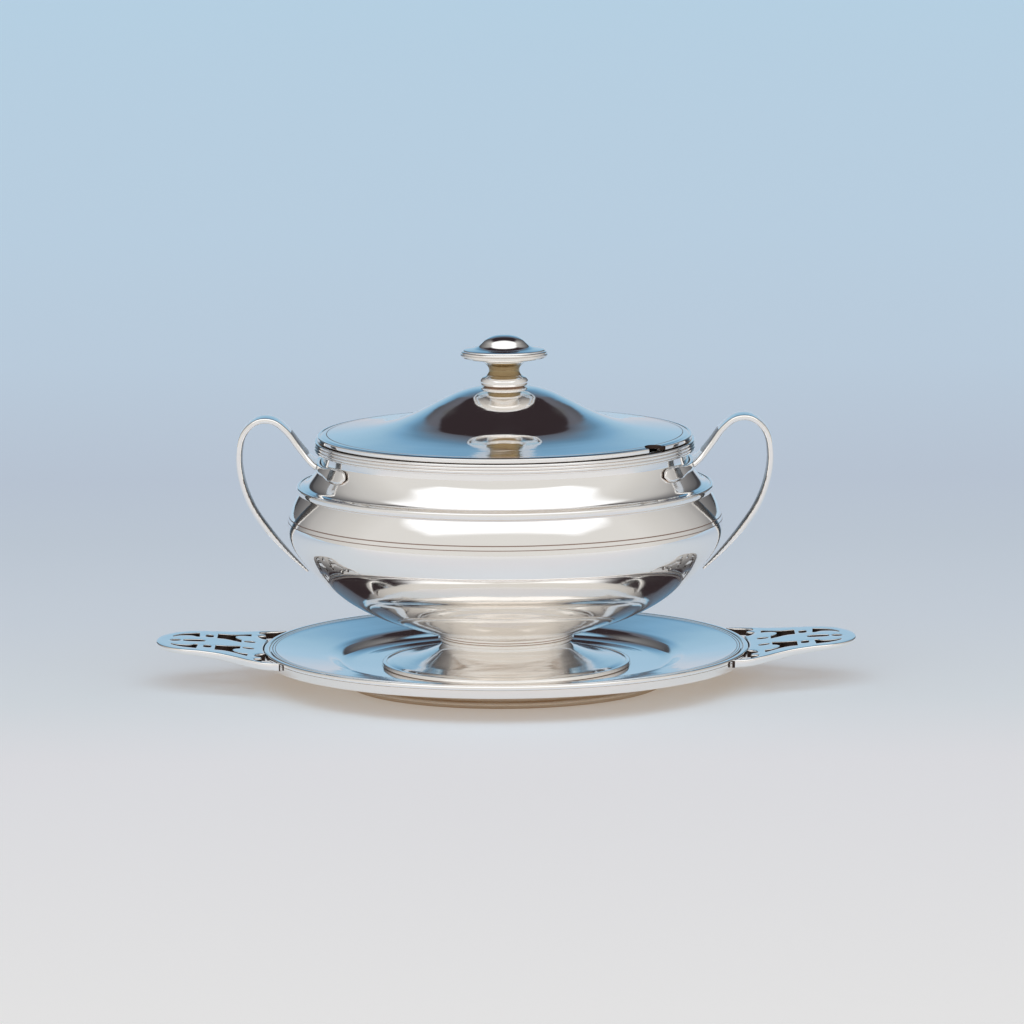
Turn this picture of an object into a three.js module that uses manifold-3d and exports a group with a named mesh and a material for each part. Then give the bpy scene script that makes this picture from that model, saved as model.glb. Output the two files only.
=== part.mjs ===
// Covered sugar bowl of sterling silver on its underplate.
// Millimetres, +Z up. Everything round turns about Z, and the handles lie along X. Heights are above the underside
// of the plate's well, and the whole set is raised at the end so that the ring under the well stands on z = 0.

import * as THREE from 'three';
import { mergeVertices } from 'three/addons/utils/BufferGeometryUtils.js';
import Module from 'manifold-3d';

// Making
const FACETS = 48; // flats round a large spun piece
const SMALL_FACETS = 24; // flats round the collar and the finial's pieces
const GAP = 0.3; // clearance between pieces that are soldered, screwed or rest together
const SHEET = 1.2; // thickness of the raised sheet

// Underplate
const PLATE_RADIUS = 76.9;
const PLATE_FLOOR = 1.4; // height of the well's upper face
const PLATE_RIM = 7.3; // height of the rim's upper face at its edge
const WELL_RADIUS = 55.6;
const WIRE_TOP = 5.9; // the applied wire hangs under the rim's edge
const WIRE_BOTTOM = 3.4;
const RING_RADIUS = 50.5; // outside of the foot ring, at its base
const RING_INSIDE = 47.2;
const RING_HEIGHT = 4.3; // from the table to the underside of the well

// Tab handles of the underplate
const TAB_TIP = 111.1; // half the length over both tabs
const TAB_THICKNESS = 2.4;
const TAB_ROOT = PLATE_RADIUS + GAP; // radius of the edge that meets the plate
const TAB_ROOT_ANGLE = 9.8; // degrees from +X to the end of that edge
const TAB_HORN_ANGLE = 23.7; // degrees from +X to the point where the tab's outer side reaches the plate
const TAB_SPREAD = 36; // more than half the tab's width at its horns
const LOBE = { x: 82, y: 12.2, radius: 4.4 }; // round end of the pierced scroll

// Pedestal foot
const FOOT_RADIUS = 39.3;
const FOOT_BOTTOM = PLATE_FLOOR + GAP;
const FOOT_TOP = 12;
const NECK_RADIUS = 20.4;
const COLLAR_RADIUS = 21.8;
const COLLAR_BOTTOM = 9.4;

// Bowl
const BOWL_BOTTOM = FOOT_TOP + GAP;
const BOWL_RADIUS = 69;
const THROAT_RADIUS = 57.8; // outside of the straight neck under the rim
const MOUTH_HEIGHT = 73.6;
const MOULDING_RADIUS = 60.3;
const MOULDING_BOTTOM = 70.2;
const REEDS = 3;
const REED_DEPTH = 0.45;

// Loop handles of the bowl
const STRAP_THICKNESS = 2.2;
const TAIL_THICKNESS = 0.7; // of the strap's pointed lower end
const ARM_HEIGHT = 65.6; // middle of the two arms that lie on the throat
const ARM_RADIUS = 59.4;
const ARM_LEAN = 0.35; // how far an arm leans in for each millimetre that it rises, as the throat does
const ARM_REACH = 31; // degrees from the handle's plane to the end of an arm
const ARM_THICKNESS = 1.3;
const ARM_WIDTH = 2.9;
const LEAF_WIDTH = 4.5; // of an arm near its rounded end

// Lid
const LID_RADIUS = 59.3;
const LID_BOTTOM = MOUTH_HEIGHT + GAP;
const LID_EDGE_TOP = 75.2;
const CROWN_RADIUS = 7.6; // flat at the middle of the lid, under the finial
const CROWN_HEIGHT = 90.2;
const BEZEL_RADIUS = 56.2; // outside of the ring that locates the lid in the mouth
const BEZEL_WALL = 1;
const BEZEL_BOTTOM = 69.6;
const BEZEL_TOP = 73.9;
const NOTCH_ANGLE = -36.5; // degrees from +X to the spoon notch
const NOTCH_CENTRE = LID_RADIUS + 0.3;
const NOTCH_RADIUS = 4.4;

// Finial
const FINIAL_TOP = 106.6;
const CAP_RADIUS = 13.9;
const CAP_BOTTOM = 99.2;
const KNOP_RADIUS = 7.6;
const SHANK_RADIUS = 1.8; // threaded shank below, plain tenon above
const SHANK_HOLE = SHANK_RADIUS + GAP;
const SHANK_BOTTOM = 84.4;
const TENON_TOP = 101.4;
const NUT_BOTTOM = 86.1;
const NUT_HEIGHT = 2.4;
const NUT_ACROSS_CORNERS = 8.6;

const wasm = await Module();
wasm.setup();

const silver = new THREE.Color(0xd8d5cd);
const satin = new THREE.Color(0xb9b6ae);

function polished() {
  return new THREE.MeshStandardMaterial({ color: silver, roughness: 0.12, metalness: 1 });
}

function turned() {
  return new THREE.MeshStandardMaterial({ color: satin, roughness: 0.35, metalness: 1 });
}

function named(name, geometry, material = polished()) {
  const mesh = new THREE.Mesh(geometry, material);
  mesh.name = name;
  return mesh;
}

// ---- outlines --------------------------------------------------------------------------------

// Points along a smooth curve through the given [x, y] pairs.
function smooth(points, steps) {
  const curve = new THREE.SplineCurve(points.map(([x, y]) => new THREE.Vector2(x, y)));
  return curve.getSpacedPoints(steps).map((p) => [p.x, p.y]);
}

// Points along a circular arc, angles in degrees.
function arc(x, y, radius, start, end, steps) {
  return Array.from({ length: steps + 1 }, (_, i) => {
    const angle = THREE.MathUtils.degToRad(start + ((end - start) * i) / steps);
    return [x + radius * Math.cos(angle), y + radius * Math.sin(angle)];
  });
}

// The same path moved sideways by a distance, to the left of its direction.
function offset(path, distance) {
  return path.map((point, i) => {
    const before = path[Math.max(i - 1, 0)];
    const after = path[Math.min(i + 1, path.length - 1)];
    const along = new THREE.Vector2(after[0] - before[0], after[1] - before[1]).normalize();
    return [Math.max(point[0] - along.y * distance, 0), point[1] + along.x * distance];
  });
}

// A sheet whose outside follows the path, which runs upwards and outwards.
function shell(outside, thickness) {
  return [...outside, ...offset(outside, thickness).reverse()];
}

// Half-round reeds one above another, on the outside of a ring.
function reeds(inner, outer, bottom, top, count) {
  const height = (top - bottom) / count;
  const crowns = Array.from({ length: count }, (_, i) => {
    const z = bottom + i * height;
    return [
      [outer - REED_DEPTH, z],
      [outer, z + 0.3 * height],
      [outer, z + 0.7 * height],
    ];
  });
  return [[inner, bottom], ...crowns.flat(), [outer - REED_DEPTH, top], [inner, top]];
}

// ---- solids --------------------------------------------------------------------------------

// A closed [radius, z] outline turned about Z.
function spun(outline, facets = FACETS) {
  const area = THREE.ShapeUtils.area(outline.map(([x, y]) => new THREE.Vector2(x, y)));
  const ordered = area > 0 ? outline : [...outline].reverse();
  const profile = ordered.map(([radius, z]) => new THREE.Vector2(radius, z));
  profile.push(profile[0].clone());
  return new THREE.LatheGeometry(profile, facets).rotateX(Math.PI / 2);
}

// A closed [x, y] outline raised from one height to another.
function raised(outline, bottom, top, holes = []) {
  const shape = new THREE.Shape(outline.map(([x, y]) => new THREE.Vector2(x, y)));
  shape.holes = holes.map((hole) => new THREE.Path(hole.map(([x, y]) => new THREE.Vector2(x, y))));
  const settings = { depth: top - bottom, bevelEnabled: false, curveSegments: 1 };
  return new THREE.ExtrudeGeometry(shape, settings).translate(0, 0, bottom);
}

// A tapering bar through a row of rings that all have the same number of points.
function lofted(rings) {
  const around = rings[0].length;
  const corners = rings.flat().flatMap((p) => [p.x, p.y, p.z]);
  const faces = [];
  for (let i = 0; i + 1 < rings.length; i += 1) {
    for (let j = 0; j < around; j += 1) {
      const a = i * around + j;
      const b = i * around + ((j + 1) % around);
      faces.push(a, b, b + around, a, b + around, a + around);
    }
  }
  const last = (rings.length - 1) * around;
  for (let j = 1; j + 1 < around; j += 1) {
    faces.push(0, j + 1, j, last, last + j, last + j + 1);
  }
  const geometry = new THREE.BufferGeometry();
  geometry.setAttribute('position', new THREE.Float32BufferAttribute(corners, 3));
  geometry.setIndex(faces);
  return geometry;
}

function toManifold(geometry) {
  const bare = geometry.clone();
  bare.deleteAttribute('normal');
  bare.deleteAttribute('uv');
  const merged = mergeVertices(bare, 1e-4);
  const mesh = new wasm.Mesh({
    numProp: 3,
    vertProperties: new Float32Array(merged.attributes.position.array),
    triVerts: new Uint32Array(merged.index.array),
  });
  return new wasm.Manifold(mesh);
}

function fromManifold(solid) {
  const mesh = solid.getMesh();
  const geometry = new THREE.BufferGeometry();
  geometry.setAttribute('position', new THREE.BufferAttribute(mesh.vertProperties, 3));
  geometry.setIndex(new THREE.BufferAttribute(mesh.triVerts, 1));
  return geometry;
}

function joined(...geometries) {
  return fromManifold(geometries.map(toManifold).reduce((all, next) => all.add(next)));
}

function cut(geometry, cutter) {
  return fromManifold(toManifold(geometry).subtract(toManifold(cutter)));
}

function common(geometry, other) {
  return fromManifold(toManifold(geometry).intersect(toManifold(other)));
}

// ---- underplate --------------------------------------------------------------------------------

function underplateDish() {
  const top = [
    [0, PLATE_FLOOR],
    [47, PLATE_FLOOR],
    ...smooth([[50.5, 1.7], [53.2, 3], [WELL_RADIUS, 4.5], [59, 5.1]], 4),
    [66, 6.1],
    [73.5, 7.1],
    [PLATE_RADIUS - 1.1, PLATE_RIM],
    [PLATE_RADIUS, PLATE_RIM - 0.5],
  ];
  const underside = [
    [PLATE_RADIUS, WIRE_TOP + GAP],
    [73.6, WIRE_TOP + 0.1],
    [66, 4.9],
    ...smooth([[59, 3.9], [56, 3.1], [53.5, 1.3], [50, 0]], 4),
    [0, 0],
  ];
  return named('underplate_dish', spun([...top, ...underside]));
}

function underplateEdgeWire() {
  const outline = [
    [74.4, WIRE_TOP - 0.3],
    [PLATE_RADIUS - 0.2, WIRE_TOP],
    [PLATE_RADIUS, WIRE_TOP - 0.7],
    [PLATE_RADIUS, WIRE_BOTTOM + 0.8],
    [PLATE_RADIUS - 0.5, WIRE_BOTTOM],
    [75.3, WIRE_BOTTOM],
    [74.4, WIRE_BOTTOM + 0.8],
  ];
  return named('underplate_edge_wire', spun(outline));
}

// The ring that the plate stands on, flared towards its base.
function underplateFootRing() {
  const outline = [
    [RING_INSIDE, -RING_HEIGHT],
    [RING_RADIUS, -RING_HEIGHT],
    [RING_RADIUS, 1.5 - RING_HEIGHT],
    [RING_RADIUS - 1, 2.2 - RING_HEIGHT],
    [RING_RADIUS - 1.6, -GAP],
    [RING_INSIDE, -GAP],
  ];
  return named('underplate_foot_ring', spun(outline));
}

// Mirrors the +Y half of a path in the X axis, to close it into one outline.
function mirrored(half) {
  return half.map(([x, y]) => [x, -y]).reverse();
}

// The tab's plan: its root follows the plate's edge, and a gap with a small cusp lies each side of the root.
function tabPlan() {
  const root = arc(0, 0, TAB_ROOT, 0, TAB_ROOT_ANGLE, 3);
  const gapSide = [
    ...smooth([[77.7, 14.2], [79, 17], [79.3, 19.3]], 4),
    ...smooth([[77.5, 20.2], [76.9, 21.4], [77.5, 22.6]], 3),
    ...smooth([[79.2, 24], [78.8, 26.2], [76.6, 28.4], [73.4, 29.7]], 5),
  ];
  const outerSide = smooth(
    [
      [75.2, 31],
      [80, 28.3],
      [85, 24.6],
      [91.6, 20.9],
      [97, 19.2],
      [102.6, 17.4],
      [106.6, 14.1],
      [109.8, 8.2],
      [TAB_TIP, 0],
    ],
    20,
  );
  const horn = arc(0, 0, TAB_ROOT, TAB_HORN_ANGLE, TAB_HORN_ANGLE, 1).slice(1);
  const half = [...root, ...gapSide, ...horn, ...outerSide];
  return [...half, ...mirrored(half.slice(1, -1))];
}

// The piercings that lie each side of the tab's centre line, on the +Y side.
function tabPiercings() {
  const crescent = [
    ...smooth([[98.2, 6.9], [100, 8.8], [102.6, 8.9], [104.6, 8], [106.1, 6.3]], 6),
    ...smooth([[106, 7.9], [104.6, 10.3], [102.3, 12.5], [99.9, 13.7], [97.9, 14.5]], 6),
  ];
  const slot = [
    ...arc(94.5, 10.8, 1.25, 0, 180, 4),
    ...arc(94.5, 8.6, 1.25, 180, 360, 4),
  ];
  const scroll = [
    [84.5, 3.4],
    [86.1, 4.5],
    [89, 6.2],
    [92, 6.6],
    [92, 15],
    ...smooth([[89, 15.2], [86.6, 16.3], [84.2, 18.3], [81.6, 20.6]], 5),
    ...arc(LOBE.x, LOBE.y, LOBE.radius, 97, -58, 8),
  ];
  const eye = [
    ...arc(82.2, 5.9, 1.3, -90, 90, 4),
    ...arc(81.3, 6.1, 1.5, 90, 270, 4),
  ];
  return [crescent, slot, scroll, eye];
}

function tabCentrePiercings() {
  const slot = [...arc(97.4, 0, 1.9, 90, 270, 5), [102.5, -1.8], [102.5, 1.8]];
  const ring = arc(105, 0, 1.7, 0, 330, 11);
  return [slot, ring];
}

// Side view of a tab: it rises from the rim and levels out towards its tip.
function tabSide() {
  const rise = [
    [68, 7.05],
    [77, 7.45],
    [83, 8.1],
    [90, 8.95],
    [97, 9.55],
    [104, 9.8],
    [TAB_TIP + 1, 9.85],
  ];
  const top = smooth(rise, 12);
  const underside = top.map(([x, z]) => [x, z - TAB_THICKNESS]).reverse();
  return [...top, ...underside];
}

function tabHandle(name, turn) {
  const side = raised(tabSide(), -TAB_SPREAD, TAB_SPREAD).rotateX(Math.PI / 2);
  const halves = tabPiercings();
  const holes = [...tabCentrePiercings(), ...halves, ...halves.map(mirrored)];
  const plan = raised(tabPlan(), 0, 20, holes);
  const mesh = named(name, common(side, plan));
  mesh.rotation.z = turn;
  return mesh;
}

// ---- foot and bowl --------------------------------------------------------------------------------

function pedestalFoot() {
  const outside = [
    [FOOT_RADIUS, FOOT_BOTTOM],
    [FOOT_RADIUS, FOOT_BOTTOM + 0.9],
    ...smooth([[35.5, 3.1], [31, 3.8], [27, 4.9], [23.4, 6.3], [21.2, 7.4], [NECK_RADIUS, 8.6]], 7),
    [NECK_RADIUS, FOOT_TOP],
  ];
  const inside = [
    [NECK_RADIUS - SHEET, FOOT_TOP],
    [NECK_RADIUS - SHEET, 8],
    [20.4, 6.4],
    [24, 4.5],
    [29, 3],
    [35, 2],
    [37.6, FOOT_BOTTOM],
  ];
  return named('pedestal_foot', spun([...outside, ...inside]));
}

function neckCollar() {
  const outline = reeds(NECK_RADIUS + GAP, COLLAR_RADIUS, COLLAR_BOTTOM, FOOT_TOP, REEDS);
  return named('neck_collar', spun(outline, SMALL_FACETS));
}

// Outside of the bowl from its middle underneath to the edge of its mouth.
function bowlOutside() {
  const belly = [
    [19, BOWL_BOTTOM],
    [24, 12.6],
    [33.1, 15.2],
    [42.9, 18.9],
    [51.3, 23.6],
    [58.4, 29.2],
    [64.2, 35.4],
    [67.8, 40.8],
    [BOWL_RADIUS, 45.5],
    [68.2, 50],
    [67.3, 52.6],
    [65.2, 56.2],
  ];
  const ledge = [[66.1, 56.8], [66.3, 57.7], [66, 58.6], [65.2, 59.1]];
  const throat = [[64, 59.9], [60.9, 62.2], [59, 64.2], [THROAT_RADIUS, 67.4]];
  return [
    [0, BOWL_BOTTOM],
    ...smooth(belly, 11),
    ...ledge,
    ...smooth(throat, 4),
    [THROAT_RADIUS, MOUTH_HEIGHT],
  ];
}

function bowlBody() {
  return named('bowl_body', spun(shell(bowlOutside(), SHEET)));
}

function bowlRimMoulding() {
  const outline = reeds(THROAT_RADIUS + GAP, MOULDING_RADIUS, MOULDING_BOTTOM, MOUTH_HEIGHT, REEDS);
  return named('bowl_rim_moulding', spun(outline));
}

// ---- loop handles --------------------------------------------------------------------------------

// A flattened round section, across and outward being unit vectors.
function strapRing(centre, across, outward, width, thickness) {
  const points = 8;
  return Array.from({ length: points }, (_, i) => {
    const angle = (2 * Math.PI * i) / points;
    return centre
      .clone()
      .addScaledVector(across, (width / 2) * Math.cos(angle))
      .addScaledVector(outward, (thickness / 2) * Math.sin(angle));
  });
}

// The loop, from its pointed tail on the belly round to its root on the throat: [x, z, width across Y].
const LOOP = [
  [62.6, 31.4, 0.9],
  [66.7, 35.4, 3.4],
  [71, 40, 5.6],
  [75.6, 45.6, 7],
  [79.9, 52.2, 8.2],
  [82.9, 60, 9.2],
  [84, 68, 10],
  [82.6, 75.6, 10.6],
  [78, 79.9, 11],
  [73.2, 79.9, 11],
  [68.9, 76.7, 11],
  [65.8, 72.6, 11.6],
  [63, 69, 13.4],
  [61.2, 67.1, 16],
  [59.5, 65.7, 18],
];

function loopStrap() {
  const centres = LOOP.map(([x, z]) => new THREE.Vector3(x, 0, z));
  const path = new THREE.CatmullRomCurve3(centres, false, 'centripetal');
  const steps = 26;
  const across = new THREE.Vector3(0, 1, 0);
  const rings = Array.from({ length: steps + 1 }, (_, i) => {
    const t = i / steps;
    const place = t * (LOOP.length - 1);
    const from = Math.min(Math.floor(place), LOOP.length - 2);
    const width = THREE.MathUtils.lerp(LOOP[from][2], LOOP[from + 1][2], place - from);
    const taper = THREE.MathUtils.smoothstep(t, 0, 0.2);
    const thickness = THREE.MathUtils.lerp(TAIL_THICKNESS, STRAP_THICKNESS, taper);
    const outward = new THREE.Vector3().crossVectors(path.getTangent(t), across);
    return strapRing(path.getPoint(t), across, outward, width, thickness);
  });
  return lofted(rings);
}

// One arm of the fork: a leaf that lies round the throat and is broadest near its rounded end.
function throatArm(side) {
  const steps = 7;
  const rings = Array.from({ length: steps + 1 }, (_, i) => {
    const t = i / steps;
    const angle = THREE.MathUtils.degToRad(side * ARM_REACH * t);
    const radial = new THREE.Vector3(Math.cos(angle), Math.sin(angle), 0);
    const outward = radial.clone().setZ(ARM_LEAN).normalize();
    const across = radial.clone().multiplyScalar(-ARM_LEAN).setZ(1).normalize().multiplyScalar(side);
    const width = THREE.MathUtils.lerp(ARM_WIDTH, LEAF_WIDTH, THREE.MathUtils.smoothstep(t, 0.35, 0.75));
    const intoEnd = Math.max((t - 0.86) / 0.14, 0);
    const rounding = Math.sqrt(Math.max(1 - intoEnd ** 2, 0.02));
    const centre = radial.clone().multiplyScalar(ARM_RADIUS).setZ(ARM_HEIGHT);
    return strapRing(centre, across, outward, width * rounding, ARM_THICKNESS);
  });
  return lofted(rings);
}

function loopHandle(name, turn) {
  const mesh = named(name, joined(loopStrap(), throatArm(1), throatArm(-1)));
  mesh.rotation.z = turn;
  return mesh;
}

// ---- lid --------------------------------------------------------------------------------

// A half-round cutter that stands on the lid's edge, wide enough to clear both edge faces.
function notchCutter() {
  const outline = arc(NOTCH_CENTRE, 0, NOTCH_RADIUS, 0, 345, 23);
  return raised(outline, BEZEL_BOTTOM, CROWN_HEIGHT).rotateZ(THREE.MathUtils.degToRad(NOTCH_ANGLE));
}

function lidCover() {
  const dome = [
    [56.3, 75.5],
    [45, 76.9],
    [37.6, 78.3],
    [31.4, 80.3],
    [28.1, 81.8],
    [24.7, 83.5],
    [21.5, 85.2],
    [18.1, 86.9],
    [14.8, 88.4],
    [11, 89.6],
  ];
  const top = [
    [LID_RADIUS, LID_BOTTOM],
    [LID_RADIUS, LID_EDGE_TOP - 0.3],
    [LID_RADIUS - 0.5, LID_EDGE_TOP],
    ...smooth(dome, 10),
    [CROWN_RADIUS, CROWN_HEIGHT],
    [SHANK_HOLE, CROWN_HEIGHT],
  ];
  const underside = [...offset(top.slice(3), SHEET).reverse(), [57.6, LID_BOTTOM]];
  return named('lid_cover', cut(spun([...top, ...underside]), notchCutter()));
}

function lidBezel() {
  const outline = [
    [BEZEL_RADIUS, BEZEL_BOTTOM],
    [BEZEL_RADIUS, BEZEL_TOP],
    [BEZEL_RADIUS - BEZEL_WALL, BEZEL_TOP],
    [BEZEL_RADIUS - BEZEL_WALL, BEZEL_BOTTOM],
  ];
  const gap = new THREE.BoxGeometry(8, 2 * NOTCH_RADIUS, 20);
  gap.translate(BEZEL_RADIUS, 0, BEZEL_TOP).rotateZ(THREE.MathUtils.degToRad(NOTCH_ANGLE));
  return named('lid_bezel', cut(spun(outline), gap));
}

// ---- finial --------------------------------------------------------------------------------

function finialStem() {
  const knopBottom = CROWN_HEIGHT + GAP;
  const knopAndWaist = [
    [7.3, 90.9],
    [KNOP_RADIUS, 91.7],
    [7, 93.1],
    [5.5, 93.9],
    [4.8, 95.2],
    [5.4, 96.7],
    [6.9, 97.9],
  ];
  const outline = [
    [0, SHANK_BOTTOM],
    [SHANK_RADIUS, SHANK_BOTTOM],
    [SHANK_RADIUS, knopBottom],
    [6.4, knopBottom],
    ...smooth(knopAndWaist, 9),
    [KNOP_RADIUS, CAP_BOTTOM - GAP],
    [SHANK_RADIUS, CAP_BOTTOM - GAP],
    [SHANK_RADIUS, TENON_TOP],
    [0, TENON_TOP],
  ];
  return named('finial_stem', spun(outline, SMALL_FACETS));
}

function finialCap() {
  const outline = [
    [0, TENON_TOP + GAP],
    [SHANK_HOLE, TENON_TOP + GAP],
    [SHANK_HOLE, CAP_BOTTOM],
    [12.7, CAP_BOTTOM],
    [13.6, CAP_BOTTOM + 0.3],
    [CAP_RADIUS, CAP_BOTTOM + 0.9],
    [13.4, CAP_BOTTOM + 1.9],
    [12.8, CAP_BOTTOM + 2.5],
    ...smooth([[10.9, 102.2], [8.6, 102.9], [7.2, 103.9], [5.8, 105.1], [4, 106.1], [0, FINIAL_TOP]], 8),
  ];
  return named('finial_cap', spun(outline, SMALL_FACETS));
}

function finialNut() {
  const hexagon = arc(0, 0, NUT_ACROSS_CORNERS / 2, 0, 300, 5);
  const hole = arc(0, 0, SHANK_HOLE, 0, 337.5, 15);
  return named('finial_nut', raised(hexagon, NUT_BOTTOM, NUT_BOTTOM + NUT_HEIGHT, [hole]), turned());
}

// ---- assembly --------------------------------------------------------------------------------

function group(...pieces) {
  return new THREE.Group().add(...pieces);
}

const underplate = group(
  underplateDish(),
  underplateEdgeWire(),
  underplateFootRing(),
  tabHandle('right_tab_handle', 0),
  tabHandle('left_tab_handle', Math.PI),
);

const bowl = group(
  pedestalFoot(),
  neckCollar(),
  bowlBody(),
  bowlRimMoulding(),
  loopHandle('right_loop_handle', 0),
  loopHandle('left_loop_handle', Math.PI),
);

const finial = group(finialStem(), finialCap(), finialNut());
const lid = group(lidCover(), lidBezel(), finial);

const set = group(underplate, bowl, lid);
set.position.z = RING_HEIGHT;

export default set;
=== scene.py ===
import math

import bmesh
import bpy
from mathutils import Matrix, Vector
from mathutils.geometry import delaunay_2d_cdt
from mathutils.kdtree import KDTree

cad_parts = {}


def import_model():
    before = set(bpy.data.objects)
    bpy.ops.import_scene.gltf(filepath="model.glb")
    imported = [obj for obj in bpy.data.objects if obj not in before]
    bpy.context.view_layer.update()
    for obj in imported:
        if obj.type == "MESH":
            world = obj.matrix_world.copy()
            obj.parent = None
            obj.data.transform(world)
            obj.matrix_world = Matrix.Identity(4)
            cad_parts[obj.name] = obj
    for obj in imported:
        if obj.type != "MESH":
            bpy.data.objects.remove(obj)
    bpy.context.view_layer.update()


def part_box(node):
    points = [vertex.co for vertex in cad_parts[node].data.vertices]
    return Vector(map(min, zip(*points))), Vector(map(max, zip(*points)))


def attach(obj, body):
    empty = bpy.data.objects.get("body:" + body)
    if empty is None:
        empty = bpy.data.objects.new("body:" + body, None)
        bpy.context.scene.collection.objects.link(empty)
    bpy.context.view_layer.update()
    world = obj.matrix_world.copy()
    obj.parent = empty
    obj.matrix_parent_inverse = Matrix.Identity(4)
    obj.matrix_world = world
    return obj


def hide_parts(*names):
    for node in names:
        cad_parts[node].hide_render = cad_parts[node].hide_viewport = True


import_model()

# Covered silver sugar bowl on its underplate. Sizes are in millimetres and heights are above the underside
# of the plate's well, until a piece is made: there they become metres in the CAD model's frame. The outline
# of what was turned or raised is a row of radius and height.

MM = 0.001
WELL_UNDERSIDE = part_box("underplate_dish")[0].z

STEPS = 6  # from each point of a curve to the next

# Turning
SEGMENTS = 256  # facets round a large turned piece
SMALL_SEGMENTS = 128  # and round a small one
CREASE = math.radians(32)  # a bend sharper than this is a crisp edge

# Engraving
LINE_DEPTH = 0.45  # share of a line's width
LINE_CLEARANCE = 0.7  # share of its width that is free of other points on both sides of its middle

# Underplate
PLATE_LINES = [(74.1, 7.15, 0.3), (73.3, 7.06, 0.22)]  # radius, height and width
TAB_ROOT = 77.2  # radius of the edge that meets the plate
TAB_THICKNESS = 2.4
TAB_THINNING = 0.9  # how much less that is at the tip
THINNING_START = 84
THINNING_LENGTH = 24
TAB_EDGE = 0.5  # rounding of the tabs' outer edges
SAWN_EDGE = 0.15  # and of the piercings' edges
TAB_STEP = 0.5  # spacing of the points along those edges
TAB_GRID = 1.2  # spacing of the points inside a tab's face
TAB_SPAN = (70, 112)  # distances from the axis between which those lie
TAB_HALF_WIDTH = 32
TAB_GAP_END = 81  # the walls beside the root that face the plate are nearer than this
TAB_RISE = [  # height of the upper face by the distance from the axis
    (68, 7.05),
    (77, 7.45),
    (83, 8.1),
    (90, 8.95),
    (97, 9.55),
    (104, 9.8),
    (112, 9.85),
]

# Bowl
BELLY_LINES = [(68.35, 49.5, 0.36), (68.6, 48.1, 0.28)]
BOWL_BOTTOM = 12.3
BOWL_SHEET = 1.1
LOOP = [  # the strap's middle from its tail on the belly to its root on the throat, and its width
    (62.6, 31.4, 1.2),
    (66.7, 35.4, 3.4),
    (71, 40, 5.6),
    (75.6, 45.6, 7),
    (79.9, 52.2, 8.2),
    (82.9, 60, 9.2),
    (84, 68, 10),
    (82.6, 75.6, 10.6),
    (78, 79.9, 11),
    (73.2, 79.9, 11),
    (68.9, 76.7, 11),
    (65.8, 72.6, 11.6),
    (63, 69, 13.4),
    (61.2, 67.1, 16),
    (59.7, 65.9, 18),
]
STRAP_THICKNESS = 2.5
STRAP_CROWN = 0.34  # share of the thickness that is in the curve of its broad faces
TAIL_THICKNESS = 0.8
ARM_RADIUS = 59.4
ARM_HEIGHT = 65.6
ARM_LEAN = 0.35  # how far an arm leans in for each millimetre that it rises
ARM_REACH = math.radians(33)
ARM_THICKNESS = 1.4
ARM_WIDTH = 2.9
LEAF_WIDTH = 4.8  # of an arm near its rounded end
SHADE_HEIGHT = 66  # below this the side of a loop that faces the bowl is rougher and takes painted shade
SHADE_FACING = 0.5  # how squarely a face looks at the bowl, from 0 to 1, to take painted shade below that height
SHADE_FACING_ABOVE = 0.75
FORGING = 0.25  # size of the steps in which strap and arms are blended into one

# Lid
LID_LINES = [(56.3, 75.45, 0.3)]
NOTCH_ANGLE = math.radians(-36.5)
NOTCH_CENTRE = 59.6
NOTCH_RADIUS = 4.4
LID_SHEET = 1.2
NUT_RADIUS = 4.3  # to its corners
NUT_BOTTOM = 86.1
NUT_TOP = 88.5
NUT_CHAMFER = 0.5
SHANK_HOLE = 2.1

# Camera: a long lens, a little above the object, that leans very slightly
CAMERA_LENS = 246.5
CAMERA_DISTANCE = 2.22
CAMERA_ELEVATION = math.radians(8.5)
CAMERA_LEAN = math.radians(0.42)
CAMERA_TARGET = Vector((0.00215, 0, 0.05 + WELL_UNDERSIDE))

# Silver
SHELTER_REACH = 0.02  # metres within which other faces keep a cloth off
SHELTER_OPENNESS = (0.62, 0.2)  # the open share of the surroundings where that begins, and where it is full
SHELTER_ROUGHNESS = 0.07  # what it adds
# tarnish with painted shade: a yellower, darker tint where other faces are near
SHELTER_TARNISH_AND_SHADE = (0.95, 0.89, 0.83)
SHELTER_TARNISH_AND_SHADE_SHARE = 0.25  # share of that tint
CREVICE_REACH = 0.0006  # metres
CREVICE_OPENNESS = (0.3, 0.8)  # the open share where the film is full, and where it ends
FILM = 0.8  # share of the film's tint that a crevice takes
FILM_TINT = (0.5, 0.38, 0.3)
RING_STRENGTH = (0.06, 0.5)  # of the rings left by turning, where a cloth reaches and where it hardly does
GLOSSY_BOUNCES = 10  # light goes to and fro between silver faces
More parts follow.
